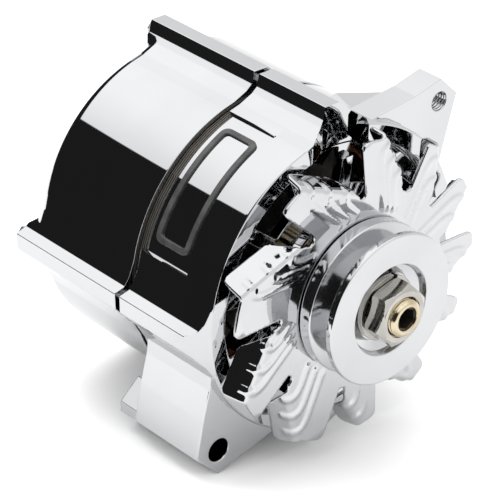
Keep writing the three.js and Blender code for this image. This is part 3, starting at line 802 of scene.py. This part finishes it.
class Petal:
    """One petal, cut flat and then folded. Its flat points are given as s along the fold
    from its root and n across it, outward onto the blade."""

    def __init__(self, row, before, after):
        fold, self.tip_fold, edge, self.tip_edge, lean, self.ribs = row
        self.root = flat_point(fold[1], fold[0])
        self.edge_root = flat_point(edge[1], edge[0])
        self.edge_tip = flat_point(FAN_RADIUS, self.tip_edge)
        tip = flat_point(FAN_RADIUS, self.tip_fold)
        self.along = (tip - self.root).normalized()
        self.length = (tip - self.root).length
        self.across = Vector((self.along.y, -self.along.x))
        onward = flat_point(1, self.tip_fold + 20) - flat_point(1, self.tip_fold)
        if self.across.dot(onward) > 0:
            self.across = -self.across
        self.square = math.pi / 2 - math.radians(lean)
        flat_depth = (BLADE_DEPTH - BEND_RADIUS) / math.sin(self.square)
        self.unrolled = BEND_RADIUS * self.square + flat_depth

        low, self.low_radius = slot_between(before, row)
        self.low = low - 360 if low > fold[0] else low
        high, self.high_radius = slot_between(row, after)
        self.high = high + 360 if high < edge[0] else high
        self.hub = arc_points(FAN_HUB, self.high, self.low, 1.2)

    def at(self, s, n):
        return self.root + self.along * s + self.across * n

    def blade_line(self):
        """From the fold's root round the outside of the blade to the fold's tip."""
        end, deep, corner = self.length, self.unrolled, BLADE_CORNER
        places = (
            (0, 0), (2.5, 0.8), (TAPER * 0.55, deep * 0.42), (TAPER, deep * 0.93),
            (TAPER + 2.0, deep), (end - corner, deep),
            (end - corner * 0.3, deep - corner * 0.3), (end, deep - corner), (end, 0.5),
        )
        return [self.at(s, n) for s, n in places]

    def tip_line(self):
        """Along the fan's rim, round the tip's far corner and down the straight edge."""
        width = math.radians(self.tip_edge - self.tip_fold) * FAN_RADIUS
        curl = min(TIP_CURL, width * 0.55)
        arc_end = self.tip_edge - math.degrees(curl / FAN_RADIUS)
        arc = arc_points(FAN_RADIUS, self.tip_fold + 0.3, arc_end, 1.0)
        edge_start = self.edge_tip + (self.edge_root - self.edge_tip).normalized() * curl
        shares = (0.12, 0.25, 0.38, 0.5, 0.62, 0.75, 0.88)
        bow = [bowed(arc[-1], self.edge_tip, edge_start, t) for t in shares]
        return [*arc, *bow, edge_start, self.edge_root]

    def outline(self):
        """Round the flat petal, from the hub by the blade and the tip and back."""
        slot_low = flat_point(self.low_radius, self.low)
        slot_high = flat_point(self.high_radius, self.high)
        points = [
            *spaced([flat_point(FAN_HUB, self.low), slot_low], GRID),
            *slot_side(slot_low, self.root, self.low),
            *spaced(self.blade_line(), GRID),
            *spaced(self.tip_line(), GRID),
            *slot_side(slot_high, self.edge_root, self.high)[::-1],
            *spaced([slot_high, flat_point(FAN_HUB, self.high)], GRID),
            *self.hub[1:-1],
        ]
        kept = [points[0]]
        for p in points[1:]:
            if (p - kept[-1]).length > 1e-3:
                kept.append(p)
        return np.array(kept)

    def inner_points(self, border):
        """A grid of points inside the outline, finer across the fold."""
        fold_end = BEND_RADIUS * self.square
        rows = (
            *np.arange(-60, -0.4, GRID),
            *np.arange(0.0, fold_end, FOLD_GRID),
            *np.arange(fold_end, self.unrolled, GRID),
        )
        columns = np.arange(-34, self.length + 3, GRID)
        grid = np.array([self.at(s, n) for n in rows for s in columns])
        inside = np.zeros(len(grid), bool)
        clear = np.full(len(grid), np.inf)
        for a, b in zip(border, np.roll(border, -1, axis=0)):
            crosses = (a[1] > grid[:, 1]) != (b[1] > grid[:, 1])
            slope = (b[0] - a[0]) * (grid[:, 1] - a[1]) / ((b[1] - a[1]) or 1e-9) + a[0]
            inside ^= crosses & (grid[:, 0] < slope)
            side = b - a
            t = np.clip(((grid - a) @ side) / max(side @ side, 1e-12), 0, 1)
            clear = np.minimum(clear, np.linalg.norm(grid - (a + t[:, None] * side), axis=1))
        return grid[inside & (clear > 0.3)]

    def rib_lines(self):
        """A rib runs straight out from the hub, then square across the fold to the blade."""
        outward = (self.edge_tip - self.edge_root).normalized()
        for share in RIB_SHARES[self.ribs]:
            cross = self.at(self.length * share, 0)
            turn_in = cross - self.across * 1.6
            turn_out = cross - self.across * 3.6 - outward * 4.2
            steepness = max(outward.dot(turn_out.normalized()), 0.3)
            start = turn_out - outward * max((turn_out.length - RIB_START) / steepness, 1.0)
            corner = turn_in - self.across * 1.2 - outward * 0.2
            bend = [bowed(turn_out, corner, turn_in, t) for t in (0.2, 0.4, 0.6, 0.8)]
            over = self.unrolled * 0.4 * smooth((self.length * share - 1.0) / TAPER)
            yield spaced([start, turn_out, *bend, turn_in, cross + self.across * over], 0.4)

    def rib_heights(self, flat):
        height = np.zeros(len(flat))
        for line in map(np.array, self.rib_lines()):
            near = np.linalg.norm(flat[:, None, :] - line[None, :, :], axis=2).min(axis=1)
            ridge = 0.5 + 0.5 * np.cos(np.pi * np.clip(near / RIB_HALF, 0, 1))
            height = np.maximum(height, RIB_HEIGHT * ridge)
        return height

    def folded(self, flat):
        """The flat points turned round the fold, with the ribs raised on them."""
        offset = flat - np.array(self.root)
        along, across = offset @ np.array(self.along), offset @ np.array(self.across)
        verts = []
        for s, n, rib in zip(along, across, self.rib_heights(flat)):
            turn = self.square * smooth((s + 0.6) / 4.0)
            if n <= 0 or turn <= 0:
                drop, shift, bend = 0.0, n, 0.0
            else:
                bend = min(n / BEND_RADIUS, turn)
                rest = max(n - BEND_RADIUS * bend, 0.0)
                shift = BEND_RADIUS * math.sin(bend) + rest * math.cos(turn)
                drop = BEND_RADIUS * (1 - math.cos(bend)) + rest * math.sin(turn)
            place = self.at(s, shift + rib * math.sin(bend))
            verts.append((SHEET_MIDDLE - drop + rib * math.cos(bend), place.x, place.y))
        return verts

    def mesh(self):
        """The petal's points and faces, on the middle of the sheet."""
        border = self.outline()
        points = [Vector(p) for p in np.vstack([border, self.inner_points(border)])]
        cut = delaunay_2d_cdt(points, [], [list(range(len(border)))], 1, 1e-6)
        return self.folded(np.array(cut[0])), cut[2]


def fan_shape():
    shape = Shape()
    for k, row in enumerate(PETALS):
        petal = Petal(row, PETALS[k - 1], PETALS[(k + 1) % len(PETALS)])
        shape.add(*petal.mesh())
        outer = [(SHEET_MIDDLE, p.x, p.y) for p in petal.hub]
        inner = [(SHEET_MIDDLE, *(p * (FAN_BORE / p.length))) for p in petal.hub]
        last = len(outer)
        quads = [(j, j + 1, last + j + 1, last + j) for j in range(last - 1)]
        shape.add([*outer, *inner], quads)
    return shape


fan = fan_shape().build("fan_petals", "rotor", ["fan"], "fan_chrome", sharp=70.0, weld=0.02)
# the sheet gets its thickness here, and its own normals
fan.modifiers.clear()
solid = fan.modifiers.new("sheet", "SOLIDIFY")
solid.thickness = SHEET * MM
solid.offset = 0.0
solid.use_rim = True

# ---- pulley and its fixings
# The washer stands on the floor of the pulley's recess, and the nut on the washer.
NUT_SEAT, NUT_FRONT, SHAFT_END = 31.4, 43.4, 45.8
NUT_FLATS, NUT_BORE, NUT_TURN = 24.0, 8.3, 27.0
WASHER_THICKNESS = 2.4
WASHER_SPLIT = 26.0

pulley = Shape()
pulley.lathe(
    [(17.8, 9.0), (17.8, 31.8), (18.0, 32.5), (18.5, 32.9), (19.0, 33.0), (23.3, 33.0),
     (23.75, 32.85), (24.0, 32.5), (26.6, 25.0), (26.9, 24.3), (27.3, 23.8), (27.9, 23.5),
     (29.2, 23.5), (29.8, 23.8), (30.2, 24.3), (30.5, 25.0), (33.1, 32.5), (33.3, 32.8),
     (33.6, 33.0), (35.7, 33.0), (36.1, 32.9), (36.4, 32.6), (36.5, 32.2), (36.5, 20.4),
     (36.4, 20.1), (36.1, 19.9), (33.6, 19.0), (33.25, 18.8), (33.05, 18.4), (31.55, 14.9),
     (NUT_SEAT, 14.5), (NUT_SEAT, 9.0)],
    steps=192,
)
pulley.build("belt_pulley", "rotor", ["pulley"], "pulley_chrome", sharp=40.0)


def hex_radius(flats, angle):
    """Distance from centre to a hexagon's side at an angle from one of its corners."""
    a = math.radians((angle % 60) - 30)
    return flats / 2 / math.cos(a)


def nut_shape():
    """A hexagon nut, rounded at its back and with its corners turned down at its front."""
    steps = 240
    back = NUT_SEAT + 2 * GAP + WASHER_THICKNESS
    angles = [360 * k / steps for k in range(steps)]

    def ring(x, limit):
        """The hexagon, cut off where it stands out further than limit."""
        radii = (min(hex_radius(NUT_FLATS, a - NUT_TURN), limit) for a in angles)
        return [(x, *polar(r, a)) for r, a in zip(radii, angles)]

    rings = [ring(back, 12.4)]
    rings += [ring(back + 0.15 + k * 0.12, 12.7 + k * 0.2) for k in range(7)]
    rings += [ring(NUT_FRONT - 1.9 + k * 0.22, 13.9 - k * 0.33) for k in range(9)]
    rings.append(ring(NUT_FRONT, 11.1))
    rings += turned(
        [(NUT_FRONT, NUT_BORE + 0.7), (NUT_FRONT - 0.7, NUT_BORE), (back, NUT_BORE)], steps
    )
    shape = Shape()
    shape.loft(rings, closed=True)
    return shape


nut_shape().build("pulley_nut_body", "rotor", ["pulley_nut"], "nut_nickel", sharp=28.0)

washer = Shape()
washer_back = NUT_SEAT + GAP
washer_rim = [polar(14.3, WASHER_SPLIT + 6 + 351 * k / 90) for k in range(91)]
washer_bore = [polar(8.6, WASHER_SPLIT + 359 - 354 * k / 70) for k in range(71)]
washer.plate(washer_rim + washer_bore, washer_back, washer_back + WASHER_THICKNESS, 0.3)
washer.build("split_washer", "rotor", ["lock_washer"], "dark_steel", sharp=35.0)


def shaft_shape():
    """The threaded end is one helical surface; the rest is turned."""
    pitch, depth, crest = 1.5, 0.85, 7.95
    first, last = 29.0, SHAFT_END - 1.2
    steps, count = 96, 110

    def thread(x, angle):
        ridge = abs((x / pitch - angle / 360) % 1.0 * 2 - 1)
        fade = smooth(x - first) * (1 - 0.35 * smooth((x - SHAFT_END + 2.4) / 1.2))
        return crest - depth * (1 - min(ridge * 1.5, 1.0)) * fade

    rings = turned(
        [(-103.4, 0.01), (-103.4, 7.5), (-102.4, 8.5), (-63, 8.5), (-63, 9), (-25, 9),
         (-25, 8.5), (27.2, 8.5), (27.2, 7.9)],
        steps,
    )
    for k in range(count + 1):
        x = first + (last - first) * k / count
        angles = (360 * j / steps for j in range(steps))
        rings.append([(x, *polar(thread(x, a), a)) for a in angles])
    rings += turned(
        [(SHAFT_END - 0.6, 7.2), (SHAFT_END - 0.12, 6.75), (SHAFT_END, 6.4), (SHAFT_END, 5.5),
         (SHAFT_END - 0.5, 4.95), (SHAFT_END - 9.2, 4.9), (SHAFT_END - 9.4, 0.01)],
        steps,
    )
    shape = Shape()
    shape.loft(rings, caps=False)
    return shape


def socket_shape():
    """The six-sided lining of the hole in the shaft's end."""
    flats, turn, steps = 8.0, 12.0, 96

    def hexagon(x, flare):
        angles = (360 * k / steps for k in range(steps))
        return [(x, *polar(min(hex_radius(flats, a + turn) + flare, 4.7), a)) for a in angles]

    shape = Shape()
    shape.loft(
        [
            *turned([(37.0, 0.01), (37.0, 4.85), (44.9, 4.85)], steps),
            hexagon(44.9, 0.15),
            hexagon(44.6, 0.0),
            hexagon(37.8, 0.0),
            *turned([(37.6, 0.01)], steps),
        ],
        caps=False,
    )
    return shape


shaft_shape().build("shaft_steel", "rotor", ["rotor_shaft"], "yellow_zinc", sharp=60.0)
socket_shape().build("hex_socket", "rotor", [], "dark_steel", socket_steel, sharp=30.0)


# ---- brush springs
WIRE = 0.3
TURNS = 7
STEPS_PER_TURN = 28
WIRE_SIDES = 8


def spring_shape(foot, head, width):
    """A coil between two points in the mounted frame; its ends lie close and flat."""
    up = (head - foot).normalized()
    right = Vector((1, 0, 0))
    out = up.cross(right)
    coil = width / 2 - WIRE
    rise = (head - foot).length - 2 * WIRE
    steps = TURNS * STEPS_PER_TURN
    round_wire = [2 * math.pi * j / WIRE_SIDES for j in range(WIRE_SIDES)]
    rings = []
    for k in range(steps + 1):
        t = k / steps
        turn = 2 * math.pi * TURNS * t
        lift = WIRE + rise * (0.12 * t + 0.88 * smooth((t - 0.1) / 0.8))
        spoke = right * math.cos(turn) + out * math.sin(turn)
        middle = foot + up * lift + spoke * coil
        rings.append(
            [tuple(middle + (spoke * math.cos(b) + up * math.sin(b)) * WIRE) for b in round_wire]
        )
    shape = Shape()
    shape.loft(rings)
    return shape


for number in (1, 2):
    spring_node = f"brush_spring_{number}"
    low, high = (Vector(corner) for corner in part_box(spring_node))
    foot = Vector(((low.x + high.x) / 2, (low.y + high.y) / 2, low.z))
    head = Vector((foot.x, foot.y, high.z))
    to_mounted = TO_PART.inverted()
    coil = spring_shape(to_mounted @ foot, to_mounted @ head, (high.x - low.x) / MM).build(
        f"brush_coil_{number}", "case", [spring_node], "steel"
    )
    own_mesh(coil)

# ---- badge frame
BADGE_INSET_X, BADGE_INSET_ANGLE = 3, 5
BADGE_BAND = 2.6
BADGE_FLOOR = RECESS_FLOOR + 0.05
BADGE_TOP = RECESS_FLOOR + 1.0
BADGE_POINTS = 240


def evenly(loop, count):
    """The same closed outline with evenly spaced points, so that it can follow the case."""
    points = [Vector(p) for p in loop]
    lengths = [0.0]
    for a, b in zip(points, points[1:] + points[:1]):
        lengths.append(lengths[-1] + (b - a).length)
    out = []
    for k in range(count):
        want = lengths[-1] * k / count
        i = max(n for n, value in enumerate(lengths[:-1]) if value <= want)
        span = lengths[i + 1] - lengths[i]
        share = (want - lengths[i]) / span if span else 0
        out.append(points[i].lerp(points[(i + 1) % len(points)], share))
    return out


def badge_shape():
    """A flat band with rounded corners, bent round the floor of the recess."""
    degrees_per_mm = math.degrees(1 / BODY)
    x0, x1 = RECESS_BACK + BADGE_INSET_X, RECESS_FRONT - BADGE_INSET_X
    low = (RECESS_FROM + BADGE_INSET_ANGLE) / degrees_per_mm
    high = (RECESS_TO - BADGE_INSET_ANGLE) / degrees_per_mm

    def loop(inset, rounding):
        left, right, start, end = x0 + inset, x1 - inset, low + inset, high - inset
        corners = ((left, start), (right, start), (right, end), (left, end))
        return evenly(rounded([(*corner, rounding) for corner in corners], 8), BADGE_POINTS)

    def wrapped(share, radius):
        """The loop a share of the way from the outer one to the inner one, at a radius."""
        points = (a.lerp(b, share) for a, b in zip(outer, inner))
        return [(x, *polar(radius, s * degrees_per_mm)) for x, s in points]

    outer, inner = loop(0, 4), loop(BADGE_BAND, 2)
    shape = Shape()
    shape.loft(
        [
            wrapped(0, BADGE_FLOOR), wrapped(0, BADGE_TOP - 0.25), wrapped(0.08, BADGE_TOP),
            wrapped(0.92, BADGE_TOP), wrapped(1, BADGE_TOP - 0.25), wrapped(1, BADGE_FLOOR),
        ],
        closed=True,
    )
    return shape


badge_shape().build("badge_band", "case", ["badge_frame"], "badge_enamel", sharp=35.0)

# ---- floor, lights, camera
def pale_surface(name, level):
    material, nodes, links, shader = new_material(name)
    tone = noise_node(nodes, links, 3.0)
    colour = ramp_node(nodes, links, tone, (level,) * 3, (level + 0.015,) * 3)
    links.new(colour, shader.inputs["Base Color"])
    fill(shader, Roughness=0.9, Specular_IOR_Level=0.0)
    return material


def flat_sheet(name, x0, x1, y0, y1, height, material):
    mesh = bpy.data.meshes.new(name)
    corners = [(x0, y0, 0), (x1, y0, 0), (x1, y1, 0), (x0, y1, 0)]
    mesh.from_pydata(corners, [], [(0, 1, 2, 3)])
    mesh.materials.append(material)
    sheet = add_object(name, mesh)
    sheet.location.z = cad_box[0][2] + height
    return sheet


FLOOR = 4.0
floor = flat_sheet("floor", -FLOOR, FLOOR, -FLOOR, FLOOR, 0.0, pale_surface("pale floor", 0.8))
floor.visible_glossy = False

# What the chrome sees below it: the lit table top, which ends on the near left side.
TABLE_EDGE = -0.2
table = flat_sheet(
    "table_top", -0.7, 0.9, TABLE_EDGE, 0.9, 0.0001, pale_surface("table top", 0.55)
)
table.visible_camera = False
table.visible_diffuse = False
table.visible_shadow = False


# Light levels of the studio as the chrome sees it, and of the dome that lights the rest.
PANEL_MIDDLE, PANEL_EDGE = 1.37, 1.12
WALL_LOW, WALL_HIGH = 1.15, 0.95
DARK_ROOM = 0.0155
DOME_LEVEL = 1.75

# The overhead panel, a rounded rectangle one unit up: centre and half size along x and y.
PANEL_U, PANEL_V = (-0.25, 1.2), (-0.06, 1.0)
PANEL_CORNER, PANEL_BLUR = 0.2, 0.02


def studio_world():
    """A studio round the object: a large soft panel overhead, pale walls behind it and an
    unlit room on the photographer's side. Only reflections see it; the floor is lit by an
    even white dome."""
    world = bpy.data.worlds.new("studio")
    world.use_nodes = True
    tree = world.node_tree
    nodes, links = tree.nodes, tree.links
    nodes.clear()
    place = nodes.new("ShaderNodeTexCoord")
    split = nodes.new("ShaderNodeSeparateXYZ")
    links.new(place.outputs["Generated"], split.inputs["Vector"])

    def math_node(operation, a, b=None):
        node = nodes.new("ShaderNodeMath")
        node.operation = operation
        for socket, value in zip(node.inputs, (a, b)):
            if value is None:
                continue
            if isinstance(value, (int, float)):
                socket.default_value = value
            else:
                links.new(value, socket)
        return node.outputs[0]

    def step(value, low, high, out_low=0.0, out_high=1.0):
        """Goes smoothly from out_low to out_high as value goes from low to high."""
        node = nodes.new("ShaderNodeMapRange")
        node.interpolation_type = "SMOOTHSTEP"
        if low > high:
            low, high, out_low, out_high = high, low, out_high, out_low
        fill(node, From_Min=low, From_Max=high, To_Min=out_low, To_Max=out_high)
        links.new(value, node.inputs["Value"])
        return node.outputs["Result"]

    x, y, z = split.outputs
    up = math_node("MAXIMUM", z, 0.02)
    u = math_node("DIVIDE", x, up)
    v = math_node("DIVIDE", y, up)

    def off_centre(value, centre):
        return math_node("ABSOLUTE", math_node("SUBTRACT", value, centre))

    def beyond(value, centre, half):
        """How far past the start of the panel's rounded corner, or 0 before it."""
        past = math_node("SUBTRACT", off_centre(value, centre), half - PANEL_CORNER)
        return math_node("MAXIMUM", past, 0.0)

    du, dv = beyond(u, *PANEL_U), beyond(v, *PANEL_V)
    squares = math_node("ADD", math_node("MULTIPLY", du, du), math_node("MULTIPLY", dv, dv))
    away = math_node("SQRT", squares)
    inside = step(away, PANEL_CORNER + PANEL_BLUR, PANEL_CORNER - PANEL_BLUR)
    fall = step(off_centre(v, PANEL_V[0]), 0.1, 1.05, PANEL_MIDDLE, PANEL_EDGE)
    panel = math_node("MULTIPLY", math_node("MULTIPLY", inside, fall), step(z, 0.05, 0.15))

    behind = step(math_node("ADD", y, math_node("MULTIPLY", x, 0.45)), -0.08, 0.06)
    wall = math_node("MULTIPLY", behind, step(z, 0.1, -0.1, WALL_HIGH, WALL_LOW))
    mixed = math_node("MAXIMUM", math_node("ADD", wall, DARK_ROOM), panel)

    studio = nodes.new("ShaderNodeBackground")
    links.new(mixed, studio.inputs["Color"])
    dome = fill(nodes.new("ShaderNodeBackground"), Color=(1, 1, 1, 1), Strength=DOME_LEVEL)
    path = nodes.new("ShaderNodeLightPath")
    mix = nodes.new("ShaderNodeMixShader")
    links.new(path.outputs["Is Glossy Ray"], mix.inputs["Fac"])
    links.new(dome.outputs[0], mix.inputs[1])
    links.new(studio.outputs[0], mix.inputs[2])
    out = nodes.new("ShaderNodeOutputWorld")
    links.new(mix.outputs[0], out.inputs["Surface"])
    world.cycles.sampling_method = "NONE"
    return world


bpy.context.scene.world = studio_world()


def softbox(name, place, aim, size, watts):
    light = bpy.data.lights.new(name, "AREA")
    light.shape = "SQUARE"
    light.size = size
    light.energy = watts
    holder = add_object(name, light)
    holder.location = place
    holder.rotation_mode = "QUATERNION"
    holder.rotation_quaternion = (Vector(aim) - Vector(place)).to_track_quat("-Z", "Y")
    holder.visible_glossy = False
    return holder


softbox("overhead softbox", (-0.35, -0.1, 1.2), (0, 0, 0), 1.0, 14.0)

# The camera stands at the photograph's viewing angle and leans a little to one side.
CAMERA_PLACE = (0.690144, -0.684185, 0.564426)
AZIMUTH, ELEVATION, LEAN = (math.radians(a) for a in (-44.3795, 26.9217, 4.9699))
LENS = 188.27

camera_data = bpy.data.cameras.new("camera")
camera_data.sensor_width = 36.0
camera_data.lens = LENS
camera_data.clip_start = 0.05
camera_data.clip_end = 50.0
camera = add_object("camera", camera_data)
forward = Vector(
    (
        -math.cos(ELEVATION) * math.cos(AZIMUTH),
        -math.cos(ELEVATION) * math.sin(AZIMUTH),
        -math.sin(ELEVATION),
    )
)
level_turn = forward.to_track_quat("-Z", "Y")
camera.location = CAMERA_PLACE
camera.rotation_mode = "QUATERNION"
camera.rotation_quaternion = level_turn @ Matrix.Rotation(LEAN, 4, "Z").to_quaternion()
bpy.context.scene.camera = camera

bpy.context.scene.view_settings.view_transform = "Standard"
bpy.context.scene.view_settings.look = "None"
